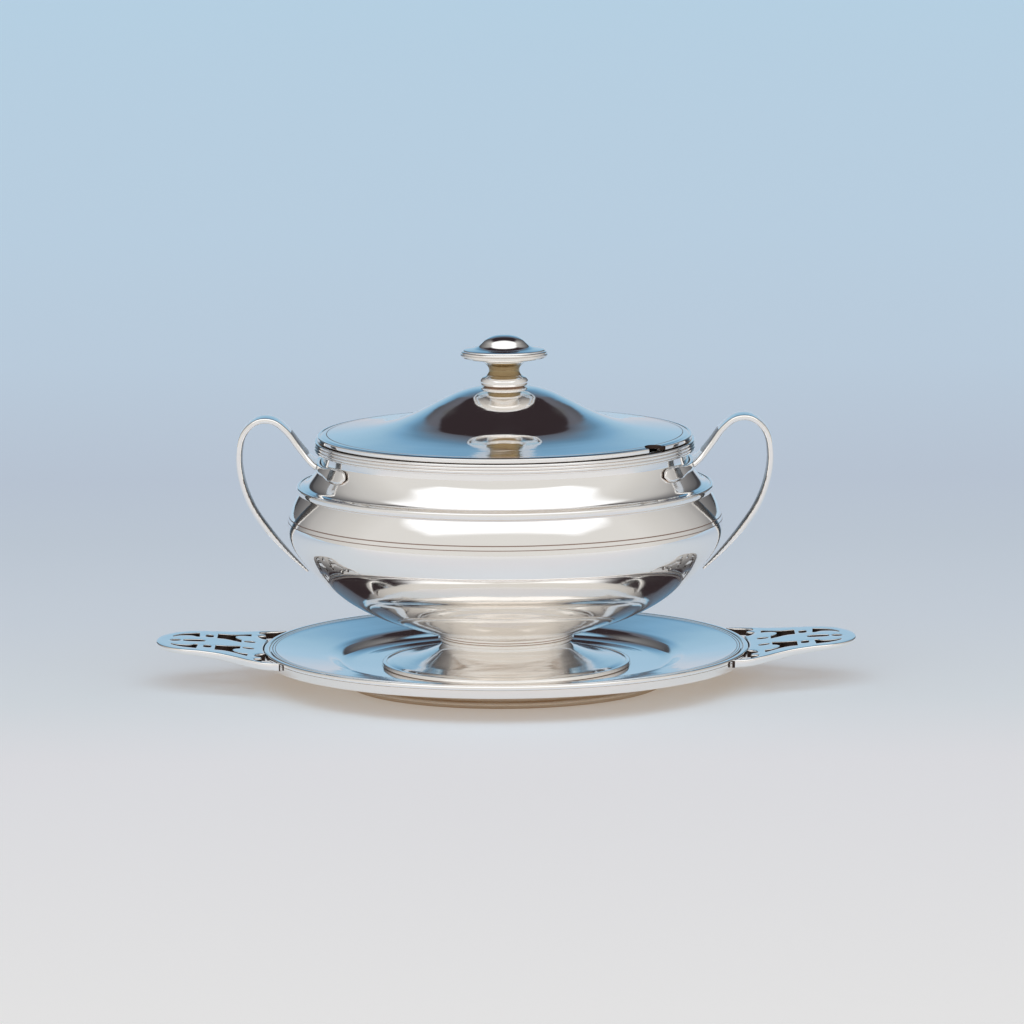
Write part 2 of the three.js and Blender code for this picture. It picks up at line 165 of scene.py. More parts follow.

# Studio
# The paper glows: painted fill light that lifts the shadows on it and warms them. Its own colour is made
# bluer to make up for that where it is lit.
FLOOR_GLOW = 0.4
GLOW_TINT = (1.35, 0.85, 0.5)  # painted warm fill light: the paper glows to lift and warm its shadows
PAPER_TINT = (0.928, 1.2, 1.4)
FLOOR_COLOURS = [  # by distance behind the object's middle, in metres
    (-0.5, (0.635, 0.635, 0.635)),
    (-0.137, (0.573, 0.579, 0.604)),
    (-0.035, (0.51, 0.55, 0.585)),
    (0.12, (0.456, 0.505, 0.562)),
    (0.3, (0.411, 0.467, 0.533)),
    (0.45, (0.391, 0.451, 0.533)),
    (0.8, (0.401, 0.494, 0.591)),
    (1.3, (0.396, 0.51, 0.616)),
    (2.8, (0.382, 0.521, 0.635)),
]
BACKDROP = [  # by the sine of the elevation
    (0.0, (0.578, 0.61, 0.68)),
    (0.148, (0.375, 0.56, 0.72)),
    (0.24, (0.305, 0.5, 0.66)),
    (0.34, (0.19, 0.375, 0.56)),
    (0.44, (0.122, 0.24, 0.365)),
    (0.545, (0.122, 0.162, 0.216)),
    (0.64, (0.09, 0.09, 0.107)),
    (0.77, (0.032, 0.021, 0.023)),
    (1.0, (0.017, 0.011, 0.011)),
]
GAP_COLOURS = [  # between the backdrop and the boards, by the sine of the elevation
    (0.0, (0.04, 0.04, 0.045)),
    (0.3, (0.06, 0.06, 0.065)),
    (0.55, (0.12, 0.125, 0.15)),
    (0.8, (0.1, 0.09, 0.1)),
    (1.0, (0.02, 0.015, 0.015)),
]
BOARD_COLOURS = [  # from straight in front (-1) round to straight behind (1)
    (-1.0, (0.735, 0.72, 0.69)),
    (-0.2, (0.715, 0.7, 0.675)),
    (0.1, (0.63, 0.615, 0.59)),
    (0.4, (0.545, 0.535, 0.52)),
    (0.6, (0.44, 0.43, 0.42)),
    (0.75, (0.27, 0.265, 0.265)),
    (0.92, (0.11, 0.11, 0.115)),
    (1.0, (0.05, 0.05, 0.055)),
]
PANEL_COLOUR = (1.15, 1.16, 1.17)
OPENING_COLOUR = (0.032, 0.023, 0.026)
# Each edge in the surroundings is a pair: where its part begins to show and where it shows fully. Facing is
# -1 straight in front and 1 straight behind, height is the sine of the elevation, and across and behind are
# a direction's run to the side and to the back for a rise of 1.
GAP_FACING = (0.967, 0.955)
GAP_HEIGHT = (0.95, 0.8)
BOARD_FACING = (0.94, 0.92)
BOARD_HEIGHT = (0.92, 0.82)
OPENING_ACROSS = (0.64, 0.4)
OPENING_NEAR = (0.2, 0.35)
OPENING_FAR = (1.25, 1.15)
PANEL_ACROSS = (0.9, 0.55)
PANEL_NEAR = (-1.25, -1.0)
PANEL_FAR = (0.46, 0.22)
PANEL_FLARE = 0.35  # how much wider it is towards the front
PANEL_FLARING = (-0.1, -0.5)
LOWEST_RISE = 0.02
LEAST_LEVEL = 0.001


# ---- outlines -------------------------------------------------------------------------------


def spline(points, steps=STEPS):
    """A smooth curve through the given points (centripetal Catmull-Rom)."""
    knots = [Vector(p) for p in points]
    knots = [2 * knots[0] - knots[1], *knots, 2 * knots[-1] - knots[-2]]
    line = []
    for p0, p1, p2, p3 in zip(knots, knots[1:], knots[2:], knots[3:]):
        t1 = (p1 - p0).length ** 0.5
        t2 = t1 + (p2 - p1).length ** 0.5
        t3 = t2 + (p3 - p2).length ** 0.5
        for i in range(steps):
            t = t1 + (t2 - t1) * i / steps
            a1 = p0.lerp(p1, t / t1)
            a2 = p1.lerp(p2, (t - t1) / (t2 - t1))
            a3 = p2.lerp(p3, (t - t2) / (t3 - t2))
            b1 = a1.lerp(a2, t / t2)
            b2 = a2.lerp(a3, (t - t1) / (t3 - t1))
            line.append(b1.lerp(b2, (t - t1) / (t2 - t1)))
    return [*line, knots[-2]]


def arc(x, y, radius, start, end, steps):
    """Points on a circle, angles in degrees."""
    angles = [math.radians(start + (end - start) * i / steps) for i in range(steps + 1)]
    return [Vector((x + radius * math.cos(a), y + radius * math.sin(a))) for a in angles]


def rounded(corners, steps=5):
    """A path through [x, y, size] corners, each one rounded over its size on both sides."""
    line = []
    for i, (x, y, size) in enumerate(corners):
        here = Vector((x, y))
        if not size:
            line.append(here)
            continue
        before = Vector(corners[i - 1][:2])
        after = Vector(corners[(i + 1) % len(corners)][:2])
        start = here + (before - here).normalized() * size
        end = here + (after - here).normalized() * size
        for k in range(steps + 1):
            t = k / steps
            line.append(start.lerp(here, t).lerp(here.lerp(end, t), t))
    return line


def moved(path, distance):
    """The path moved sideways, to the left of its direction."""
    line = []
    for i, point in enumerate(path):
        along = (path[min(i + 1, len(path) - 1)] - path[max(i - 1, 0)]).normalized()
        line.append(Vector((max(point.x - along.y * distance, 0), point.y + along.x * distance)))
    return line


def engraved(path, lines):
    """The path with a V-shaped cut to its left at each line, given as x, y and width."""
    for x, y, width in lines:
        spot = Vector((x, y))
        lengths = [0]
        for a, b in zip(path, path[1:]):
            lengths.append(lengths[-1] + (b - a).length)
        nearest = min(range(len(path)), key=lambda i: (path[i] - spot).length)
        low = max(nearest - 1, 0)
        high = min(nearest + 1, len(path) - 1)
        along = (path[high] - path[low]).normalized()
        inward = Vector((-along.y, along.x))
        offset = (spot - path[nearest]).dot(along)
        middle = path[nearest] + along * offset
        groove = [
            middle - along * width / 2,
            middle + inward * width * LINE_DEPTH,
            middle + along * width / 2,
        ]
        centre = lengths[nearest] + offset
        before = [p for p, s in zip(path, lengths) if s < centre - width * LINE_CLEARANCE]
        after = [p for p, s in zip(path, lengths) if s > centre + width * LINE_CLEARANCE]
        path = [*before, *groove, *after]
    return path


# ---- solids ---------------------------------------------------------------------------------


def in_frame(x, y, z, side=1):
    """A point in millimetres as metres in the CAD model's frame, turned half round Z where side is -1."""
    return Vector((side * x * MM, side * y * MM, z * MM + WELL_UNDERSIDE))


def finished(name, mesh, body, node, *materials, slot="polished_silver"):
    """Makes the piece that stands for a CAD node and rides on its body."""
    piece = bpy.data.objects.new(name, mesh)
    bpy.context.scene.collection.objects.link(piece)
    mesh.shade_smooth()
    mesh.set_sharp_from_angle(angle=CREASE)
    for material in materials:
        mesh.materials.append(material)
    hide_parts(node)
    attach(piece, body)


def spun(name, outline, segments=SEGMENTS, lines=(), darkened=(0, 0)):
    """A closed outline turned about Z. Engraved lines and a darkened band of heights take the second
    material.
    """
    bm = bmesh.new()
    rings = []
    for point in outline:
        radius = point.x * MM
        z = point.y * MM + WELL_UNDERSIDE
        if radius < 1e-7:
            rings.append([bm.verts.new((0, 0, z))] * segments)
            continue
        turns = [2 * math.pi * k / segments for k in range(segments)]
        rings.append([bm.verts.new((radius * math.cos(t), radius * math.sin(t), z)) for t in turns])
    for i, (a, b) in enumerate(zip(rings, [*rings[1:], rings[0]])):
        middle = (outline[i] + outline[(i + 1) % len(outline)]) / 2
        marked = any((middle - Vector((x, y))).length < width / 2 for x, y, width in lines)
        marked = marked or darkened[0] < middle.y < darkened[1]
        for k in range(segments):
            corners = []
            for vert in (a[k], a[(k + 1) % segments], b[(k + 1) % segments], b[k]):
                if vert not in corners:
                    corners.append(vert)
            if len(corners) > 2:
                bm.faces.new(corners).material_index = int(marked)
    return made(name, bm)


def swept(bm, rings):
    """Adds a closed bar through a row of rings that all have the same number of points."""
    loops = [[bm.verts.new(point) for point in ring] for ring in rings]
    for a, b in zip(loops, loops[1:]):
        for k in range(len(a)):
            n = (k + 1) % len(a)
            bm.faces.new((a[k], a[n], b[n], b[k]))
    bm.faces.new(loops[0][::-1])
    bm.faces.new(loops[-1])


def made(name, bm):
    """The mesh that was built, with its faces turned outwards."""
    bmesh.ops.recalc_face_normals(bm, faces=bm.faces)
    mesh = bpy.data.meshes.new(name)
    bm.to_mesh(mesh)
    bm.free()
    return mesh


def modified(mesh, *modifiers):
    """The mesh after the given modifiers, each of them a type with its settings."""
    blank = bpy.data.objects.new(mesh.name, mesh)
    bpy.context.scene.collection.objects.link(blank)
    for kind, settings in modifiers:
        modifier = blank.modifiers.new(kind, kind)
        for key, value in settings.items():
            setattr(modifier, key, value)
    result = bpy.data.meshes.new_from_object(blank.evaluated_get(bpy.context.evaluated_depsgraph_get()))
    result.name = mesh.name
    bpy.data.objects.remove(blank)
    return result


def cut(mesh, outline, low, high):
    """The mesh less an upright prism."""
    bm = bmesh.new()
    swept(bm, [[in_frame(p.x, p.y, z) for p in outline] for z in (low, high)])
    cutter = bpy.data.objects.new("cutter", made("cutter", bm))
    bpy.context.scene.collection.objects.link(cutter)
    result = modified(mesh, ("BOOLEAN", {"operation": "DIFFERENCE", "solver": "EXACT", "object": cutter}))
    bpy.data.objects.remove(cutter)
    return result


# ---- materials ------------------------------------------------------------------------------


def add_node(tree, kind, **settings):
    """Adds a shader node and sets its properties, and its inputs by name or number."""
    inputs = settings.pop("inputs", {})
    added = tree.nodes.new("ShaderNode" + kind)
    for key, value in settings.items():
        setattr(added, key, value)
    for key, value in inputs.items():
        if isinstance(value, bpy.types.NodeSocket):
            tree.links.new(value, added.inputs[key])
        else:
            added.inputs[key].default_value = value
    return added


def blended(tree, amount, under, over):
    """The upper colour laid over the lower one by an amount. Each is a colour or a socket."""
    mix = add_node(tree, "Mix", data_type="RGBA", inputs={"Factor": amount})
    for key, value in (("A", under), ("B", over)):
        if isinstance(value, bpy.types.NodeSocket):
            tree.links.new(value, mix.inputs[key])
        else:
            mix.inputs[key].default_value = (*value, 1)
    return mix.outputs["Result"]


def tinted(colour, tint):
    """The colour times the tint."""
    return [part * share for part, share in zip(colour, tint)]


def set_stops(ramp, stops):
    """Gives a colour ramp the listed positions and colours."""
    elements = ramp.color_ramp.elements
    elements.remove(elements[1])
    for i, (position, colour) in enumerate(stops):
        stop = elements[0] if i == 0 else elements.new(position)
        stop.position = position
        stop.color = (*colour, 1)


def silver_colour(tree, base, hidden, film):
    """Darker in the narrowest crevices, and a little yellower and darker where a cloth hardly reaches:
    tarnish with painted shade.
    """
    crevice = add_node(tree, "AmbientOcclusion", samples=8, inputs={"Distance": CREVICE_REACH})
    deep, clear = CREVICE_OPENNESS
    span = {0: crevice.outputs["AO"], 1: deep, 2: clear, 3: film, 4: 0.0}
    depth = add_node(tree, "MapRange", inputs=span)
    filmed = blended(tree, depth.outputs[0], base, tinted(base, FILM_TINT))
    # painted shade with tarnish: yellower and darker where other faces are near
    sheltered_tarnish_and_shade = add_node(tree, "Math", operation="MULTIPLY", inputs={0: hidden, 1: SHELTER_TARNISH_AND_SHADE_SHARE})
    return blended(tree, sheltered_tarnish_and_shade.outputs[0], filmed, tinted(base, SHELTER_TARNISH_AND_SHADE))


def silver_roughness(tree, place, hidden, low, high):
    """Cloudy between low and high, and more where a cloth hardly reaches."""
    cloud = add_node(tree, "TexNoise", inputs={"Vector": place, "Scale": 60, "Detail": 4})
    wear = add_node(tree, "MapRange", inputs={0: cloud.outputs[0], 1: 0.3, 2: 0.7, 3: low, 4: high})
    added = {0: hidden, 1: SHELTER_ROUGHNESS, 2: wear.outputs[0]}
    return add_node(tree, "Math", operation="MULTIPLY_ADD", inputs=added).outputs[0]


def silver_bumps(tree, place, hidden):
    """Slow waves from the hammer, fine rings from turning, and hairlines."""
    axis = add_node(tree, "SeparateXYZ", inputs={"Vector": place})
    flat = add_node(tree, "CombineXYZ", inputs={"X": axis.outputs["X"], "Y": axis.outputs["Y"]})
    radius = add_node(tree, "VectorMath", operation="LENGTH", inputs={0: flat.outputs[0]})
    turned = add_node(tree, "CombineXYZ", inputs={"X": radius.outputs["Value"], "Y": axis.outputs["Z"]})
    slow = add_node(tree, "VectorMath", operation="SCALE", inputs={0: place, "Scale": 0.1})
    around = add_node(tree, "VectorMath", operation="ADD", inputs={0: turned.outputs[0], 1: slow.outputs[0]})
    reached, sheltered = RING_STRENGTH
    ringed = add_node(tree, "MapRange", inputs={0: hidden, 3: reached, 4: sheltered})
    waves = add_node(tree, "TexNoise", inputs={"Vector": place, "Scale": 45, "Detail": 1})
    rings = add_node(tree, "TexNoise", inputs={"Vector": around.outputs[0], "Scale": 420, "Detail": 1})
    hairs = add_node(tree, "TexNoise", inputs={"Vector": place, "Scale": 2600, "Detail": 2})
    layers = (  # height, strength, and distance in metres
        (waves, 0.5, 0.0003),
        (rings, ringed.outputs[0], 0.0002),
        (hairs, 0.05, 0.00002),
    )
    normal = None
    for height, strength, distance in layers:
        settings = {"Height": height.outputs[0], "Strength": strength, "Distance": distance}
        bump = add_node(tree, "Bump", inputs=settings)
        if normal:
            tree.links.new(normal, bump.inputs["Normal"])
        normal = bump.outputs[0]
    return normal


def silver(name, base, low, high, film=FILM):
    """Silver polished by hand: a cloth reaches badly under and between the parts, so it is duller there,
    with painted shade.
    """
    material = bpy.data.materials.new(name)
    material.use_nodes = True
    tree = material.node_tree
    shader = tree.nodes["Principled BSDF"]
    shader.inputs["Metallic"].default_value = 1
    place = add_node(tree, "TexCoord").outputs["Object"]
    shelter = add_node(tree, "AmbientOcclusion", samples=8, inputs={"Distance": SHELTER_REACH})
    start, full = SHELTER_OPENNESS
    hidden = add_node(tree, "MapRange", inputs={0: shelter.outputs["AO"], 1: start, 2: full}).outputs[0]
    tree.links.new(silver_colour(tree, base, hidden, film), shader.inputs["Base Color"])
    tree.links.new(silver_roughness(tree, place, hidden, low, high), shader.inputs["Roughness"])
    tree.links.new(silver_bumps(tree, place, hidden), shader.inputs["Normal"])
    return material


def studio_floor():
    """Matte paper that glows with painted warm fill light in its shadows, white in front and a pale blue
    further back.
    """
    material = bpy.data.materials.new("paper")
    material.use_nodes = True
    tree = material.node_tree
    shader = tree.nodes["Principled BSDF"]
    shader.inputs["Roughness"].default_value = 0.9
    shader.inputs["Specular IOR Level"].default_value = 0.1
    shader.inputs["Emission Strength"].default_value = FLOOR_GLOW
    split = add_node(tree, "SeparateXYZ", inputs={"Vector": add_node(tree, "TexCoord").outputs["Object"]})
    near = FLOOR_COLOURS[0][0]
    far = FLOOR_COLOURS[-1][0]
    span = add_node(tree, "MapRange", inputs={0: split.outputs["Y"], 1: near, 2: far})
    ramp = add_node(tree, "ValToRGB", inputs={0: span.outputs[0]})
    set_stops(ramp, [((y - near) / (far - near), colour) for y, colour in FLOOR_COLOURS])
    # the glow is painted fill light for the shadows; the base colour makes up for its warmth
    for tint, socket in ((PAPER_TINT, "Base Color"), (GLOW_TINT, "Emission Color")):
        factors = {0: ramp.outputs["Color"], 1: tint}
        toned = add_node(tree, "VectorMath", operation="MULTIPLY", inputs=factors)
        tree.links.new(toned.outputs[0], shader.inputs[socket])
    return material


# ---- underplate -----------------------------------------------------------------------------


def dish(material, engraving):
    underside = [
        Vector((0, 0)),
        *spline([(49.8, 0), (51.6, 0.3), (53.6, 1.4), (56.2, 3.1), (59, 3.9), (66, 4.9), (74, 5.95)]),
    ]
    rim = rounded([(75.2, 6.05, 0), (76.9, 6.1, 0.08), (76.9, 7.3, 0.75), (75.2, 7.3, 0.6)])
    top = [Vector((74.7, 7.22)), *spline([(72.6, 6.98), (66, 6.1), (59, 5.1), (56.3, 4.6), (54.6, 3.9)])]
    well = spline([(53.4, 3.1), (52, 2.2), (50, 1.6), (47, 1.4)])
    face = engraved([*top, *well], PLATE_LINES)
    outline = [*underside, *rim, *face, Vector((0, 1.4))]
    mesh = spun("dish", outline, lines=PLATE_LINES)
    finished("dish", mesh, "underplate", "underplate_dish", material, engraving)


def edge_wire(material):
    outline = rounded(
        [(74.4, 3.9, 0.4), (75.4, 3.35, 0.3), (76.85, 3.45, 0.5), (76.9, 6.05, 0.12), (74.4, 5.9, 0.2)]
    )
    mesh = spun("edge_wire", outline)
    finished("edge_wire", mesh, "underplate", "underplate_edge_wire", material)


def foot_ring(material):
    base = -WELL_UNDERSIDE / MM
    outline = rounded(
        [
            (47.3, base, 0.2),
            (50.5, base, 0.3),
            (50.5, base + 1.5, 0.5),
            (49.2, base + 2.4, 0.5),
            (48.9, -0.02, 0.1),
            (47.3, -0.02, 0.1),
        ]
    )
    mesh = spun("foot_ring", outline)
    finished("foot_ring", mesh, "underplate", "underplate_foot_ring", material)


def mirrored(path):
    """The other half of a path that is the same on both sides of the X axis, in the order to go on with."""
    return [Vector((p[0], -p[1])) for p in reversed(path)]


def tab_outline():
    """The tab's plan. Its root follows the plate's edge, with a small cusp in the gap on each side of it."""
    gap = [
        *spline([(76.07, 13.14), (77.7, 14.2), (79, 17), (79.3, 19.3)])[1:],
        *spline([(78.6, 19.9), (77.3, 20.4), (76.9, 21.4), (77.3, 22.4), (78.6, 23.1)]),
        *spline([(79.2, 24), (78.8, 26.2), (76.6, 28.4), (73.4, 29.7)]),
        Vector((70.7, 30.9)),
    ]
    side = [(70.9, 31.3), (75.2, 31), (80, 28.3), (85, 24.6), (91.6, 20.9), (97, 19.2), (102.6, 17.4)]
    half = [*side, (106.6, 14.1), (109.8, 8.2), (111.1, 0)]
    root = arc(0, 0, TAB_ROOT, -9.8, 9.8, 12)
    return [*root, *gap, *spline([*half, *mirrored(half)[1:]]), *mirrored(gap)]


def tab_piercings():
    """Four pairs of piercings and two on the middle line."""
    crescent = [
        *spline([(97.4, 7.2), (98.2, 6.9), (100, 8.8), (102.6, 8.9), (104.6, 8), (106.1, 6.3)])[1:],
        *spline([(106, 7.9), (104.6, 10.3), (102.3, 12.5), (99.9, 13.7), (97.9, 14.5)]),
    ]
    slot = [*arc(94.5, 10.8, 1.25, 0, 180, 10), *arc(94.5, 8.6, 1.25, 180, 360, 10)]
    scroll = [
        *spline([(84.2, 3.3), (86.1, 4.5), (89, 6.2), (92, 6.6)]),
        *spline([(92, 15), (89, 15.2), (86.6, 16.3), (84.2, 18.3), (81.6, 20.6)]),
        *arc(82, 12.2, 4.4, 97, -58, 20),
    ]
    eye = [*arc(82.2, 5.9, 1.3, -90, 90, 8), *arc(81.3, 6.1, 1.5, 90, 270, 8)]
    sides = [crescent, slot, scroll, eye]
    point = [(99, -1.9), (101, -1.7), (102.5, -1.1)]
    middle = [*arc(97.4, 0, 1.9, 90, 270, 12), *spline(point), *spline(mirrored(point))]
    return [*sides, *map(mirrored, sides), middle, arc(105, 0, 1.7, 0, 340, 17)]


def area(loop):
    """The area inside a closed loop, positive where it runs anticlockwise."""
    ends = [*loop[1:], loop[0]]
    return sum(a.x * b.y - a.y * b.x for a, b in zip(loop, ends)) / 2


def even(loop, spacing):
    """The closed loop again, with points at equal distances."""
    ends = [*loop[1:], loop[0]]
    total = sum((b - a).length for a, b in zip(loop, ends))
    step = total / max(round(total / spacing), 12)
    points = []
    walked = 0
    for a, b in zip(loop, ends):
        length = (b - a).length
        while len(points) * step < walked + length - 1e-6:
            points.append(a.lerp(b, (len(points) * step - walked) / length))
        walked += length
    return points


def insides(loop):
    """At each point of the loop, the direction into the metal, which lies to its left."""
    alongs = [(loop[(i + 1) % len(loop)] - loop[i - 1]).normalized() for i in range(len(loop))]
    return [Vector((-along.y, along.x)) for along in alongs]


def edge_roundings(loops):
    """How far each point's edge is rounded: less at piercings and where the metal is narrow."""
    places = [point for loop in loops for point in loop]
    tree = KDTree(len(places))
    for i, point in enumerate(places):
        tree.insert(point.to_3d(), i)
    tree.balance()
    sizes = []
    for loop in loops:
        row = []
        for point, inside in zip(loop, insides(loop)):
            size = SAWN_EDGE if loop is not loops[0] else TAB_EDGE
            for place, _, distance in tree.find_range(point.to_3d(), TAB_EDGE * 4):
                if (place.to_2d() - point).dot(inside) > distance * 0.4 > 0:
                    size = min(size, distance * 0.3)
            row.append(size)
        sizes.append(row)
    return sizes


def tab_section(x):
    """Height of the tab's upper face, and its thickness, at a distance from the axis."""
    after = next((i for i, point in enumerate(TAB_RISE) if point[0] >= x), len(TAB_RISE) - 1)
    after = max(after, 1)
    (x0, z0), (x1, z1) = TAB_RISE[after - 1], TAB_RISE[after]
    thinning = min(max((x - THINNING_START) / THINNING_LENGTH, 0), 1)
    return z0 + (z1 - z0) * (x - x0) / (x1 - x0), TAB_THICKNESS - TAB_THINNING * thinning


def face_points(loops):
    """Points of a square grid that stand clear of the loops."""
    edges = KDTree(sum(map(len, loops)))
    for i, point in enumerate(point for loop in loops for point in loop):
        edges.insert(point.to_3d(), i)
    edges.balance()
    near, far = TAB_SPAN
    columns = range(int(near / TAB_GRID), int(far / TAB_GRID))
    last_row = int(TAB_HALF_WIDTH / TAB_GRID)
    rows = range(-last_row, last_row + 1)
    grid = [Vector((i * TAB_GRID, j * TAB_GRID)) for i in columns for j in rows]
    return [point for point in grid if edges.find(point.to_3d())[2] > TAB_GRID * 0.6]


def tab_loops():
    """The tab's outline anticlockwise and its piercings clockwise: the metal is on the left of each."""
    loops = [even(loop, TAB_STEP) for loop in (tab_outline(), *tab_piercings())]
    return [loop[::-1] if (area(loop) > 0) == (i > 0) else loop for i, loop in enumerate(loops)]


def face_triangles(flats):
    """Triangles that cover the metal between the loops: all their points, and the numbers of each one's."""
    plan = []
    regions = []
    for flat in flats:
        region = range(len(plan), len(plan) + len(flat))
        regions.append(region[::-1] if regions else region)
        plan += flat
    plan += face_points(flats)
    _, _, triangles, sources, _, covers = delaunay_2d_cdt(plan, [], regions, 0, 1e-7)
    metal = [triangle for triangle, cover in zip(triangles, covers) if list(cover) == [0]]
    return plan, [[sources[k][0] for k in triangle] for triangle in metal]


def tab_handle(name, side, material, sawn_and_shaded_wall):
    """A pierced plate with rounded edges, bent upwards from the rim. Side is 1 for +X and -1 for -X."""
    bm = bmesh.new()

    def vertex(point, upper, drop):
        """A corner at a distance from the upper or the lower face."""
        height, thickness = tab_section(point.x)
        z = height - drop if upper else height - thickness + drop
        return bm.verts.new(in_frame(point.x, point.y, z, side))

    bends = [(1 - point.y, 1 - point.x) for point in arc(0, 0, 1, 0, 90, 4)]
    profile = [(True, *bend) for bend in bends] + [(False, *bend) for bend in reversed(bends)]
    loops = tab_loops()
    flats = []
    borders = []
    for loop, sizes in zip(loops, edge_roundings(loops)):
        into = insides(loop)
        rings = []
        for upper, inset, drop in profile:
            ring = []
            for point, inside, size in zip(loop, into, sizes):
                ring.append(vertex(point + inside * inset * size, upper, drop * size))
            rings.append(ring)
        for i, (a, b) in enumerate(zip(rings, rings[1:])):
            for k in range(len(loop)):
                n = (k + 1) % len(loop)
                # sawn walls and the walls facing the plate take near-black silver: tarnish with painted
                # shade in the holes and gaps
                towards_plate = into[k].x > 0.1 and loop[k].x < TAB_GAP_END
                sawn_and_shaded = i >= len(bends) - 1 and (loop is not loops[0] or towards_plate)
                bm.faces.new((a[k], a[n], b[n], b[k])).material_index = int(sawn_and_shaded)
        flats.append([point + inside * size for point, inside, size in zip(loop, into, sizes)])
        borders.append((rings[0], rings[-1]))

    plan, triangles = face_triangles(flats)
    for upper, column in ((True, 0), (False, 1)):
        verts = dict(enumerate(v for border in borders for v in border[column]))
        for corners in triangles:
            for k in corners:
                if k not in verts:
                    verts[k] = vertex(plan[k], upper, 0)
            bm.faces.new([verts[k] for k in corners])
    finished(name, made(name, bm), "underplate", name, material, sawn_and_shaded_wall)


# ---- bowl -----------------------------------------------------------------------------------


def foot(material):
    outside = rounded([(37.8, 1.42, 0), (39.3, 1.42, 0.25), (39.3, 2.6, 0.45), (38, 2.75, 0.3)])
    flare = spline([(36.8, 2.95), (31, 3.8), (27, 4.9), (23.4, 6.3), (21.4, 7.4), (20.5, 8.6), (20.4, 9.4)])
    inside = spline([(19.2, 8.4), (20.4, 6.4), (24, 4.5), (29, 3), (34, 2.1)])
    outline = [*outside, *flare, Vector((20.4, BOWL_BOTTOM)), Vector((19.2, BOWL_BOTTOM)), *inside]
    finished("foot", spun("foot", outline), "bowl", "pedestal_foot", material)


def collar(material):
    beads = [
        *arc(21, 9.95, 0.55, -90, 90, 8),
        *arc(20.9, 10.85, 0.32, -80, 80, 6),
        *arc(21, 11.75, 0.5, -90, 90, 8),
    ]
    outline = [Vector((20.3, 9.4)), *beads, Vector((20.3, 12.25))]
    finished("collar", spun("collar", outline), "bowl", "neck_collar", material)


def bowl(material, engraving):
    belly = spline(
        [
            (19, BOWL_BOTTOM),
            (24, 12.6),
            (33.1, 15.2),
            (42.9, 18.9),
            (51.3, 23.6),
            (58.4, 29.2),
            (64.2, 35.4),
            (67.8, 40.8),
            (69, 45.5),
            (68.3, 50),
            (67.3, 52.8),
            (66, 55.4),
            (65, 57.1),
        ]
    )
    ledge = rounded(
        [(65, 57.25, 0), (65.9, 57.35, 0.3), (66.1, 58.4, 0.5), (65.8, 59.2, 0.35), (65, 59.35, 0.3)]
    )
    cavetto = spline(
        [
            (64.3, 59.42),
            (63.3, 59.8),
            (62.1, 60.7),
            (60.5, 62.6),
            (59, 64.9),
            (58, 67.3),
            (57.8, 69.8),
            (57.8, 73),
        ]
    )
    bottom = Vector((0, BOWL_BOTTOM))
    outside = engraved([bottom, *belly, *ledge, *cavetto], BELLY_LINES)
    past_ledge = [bottom, *belly[:-STEPS], *cavetto[2 * STEPS :]]
    inside = moved(past_ledge, BOWL_SHEET)[::-1]
    lip = rounded([(57.8, 73, 0), (57.8, 73.6, 0.3), (56.7, 73.6, 0.3), (56.7, 73, 0)])[1:-1]
    mesh = spun("bowl", [*outside, *lip, *inside], lines=BELLY_LINES)
    finished("bowl", mesh, "bowl", "bowl_body", material, engraving)


def rim_moulding(material):
    reeds = [
        *arc(59.75, 70.5, 0.3, -90, 60, 6),
        *arc(59.8, 71.25, 0.5, -70, 70, 8),
        *arc(59.8, 72.25, 0.48, -70, 70, 8),
        *arc(59.75, 73.15, 0.45, -70, 90, 8),
    ]
    outline = [Vector((57.75, 70.2)), *reeds, Vector((57.75, 73.6))]
    finished("rim_moulding", spun("rim_moulding", outline), "bowl", "bowl_rim_moulding", material)


def flat_section(centre, across, outward, width, thickness, crown=0):
    """A flat bar's section with softened edges. Its broad faces are crowned by a share of the thickness."""
    w = width / 2
    t = thickness / 2
    edge = t * (1 - crown)
    soft = min(w, edge) * 0.6
    bulge = min(w * 0.2, 0.25)
    half = [(w - bulge, edge, soft), (w, 0, edge * 0.5), (w - bulge, -edge, soft)]
    other = [(-x, -y, size) for x, y, size in half]
    corners = [(0, t, w * 0.6), *half, (0, -t, w * 0.6), *other]
    return [centre + across * p.x + outward * p.y for p in rounded(corners, 4)]


def loop_strap():
    """The strap's sections, from a thin tail to full thickness after a fifth of its length."""
    across = Vector((0, 1, 0))
    places = spline(LOOP, 4)
    rings = []
    for i, (x, z, width) in enumerate(places):
        before = places[max(i - 1, 0)]
        after = places[min(i + 1, len(places) - 1)]
        along = Vector((after[0] - before[0], 0, after[1] - before[1])).normalized()
        outward = along.cross(across)
        grown = min(i / len(places) / 0.2, 1)
        thickness = TAIL_THICKNESS + (STRAP_THICKNESS - TAIL_THICKNESS) * grown
        rings.append(flat_section(Vector((x, 0, z)), across, outward, width, thickness, STRAP_CROWN))
    return rings


def throat_arm(side):
    """One arm of the fork: a leaf that lies round the throat, broadest near its rounded end."""
    steps = 24
    rings = []
    for i in range(steps + 1):
        t = i / steps
        turn = side * ARM_REACH * t
        radial = Vector((math.cos(turn), math.sin(turn), 0))
        outward = Vector((radial.x, radial.y, ARM_LEAN)).normalized()
        across = Vector((-radial.x * ARM_LEAN, -radial.y * ARM_LEAN, 1)).normalized()
        swell = min(max((t - 0.5) / 0.25, 0), 1)
        width = ARM_WIDTH + (LEAF_WIDTH - ARM_WIDTH) * swell * swell * (3 - 2 * swell)
        ending = max((t - 0.88) / 0.12, 0)
        rounding = math.sqrt(max(1 - ending ** 2, 0.02))
        thickness = ARM_THICKNESS * (0.4 + 0.6 * rounding)
        centre = Vector((radial.x * ARM_RADIUS, radial.y * ARM_RADIUS, ARM_HEIGHT))
        rings.append(flat_section(centre, across, outward, width * rounding, thickness))
    return rings


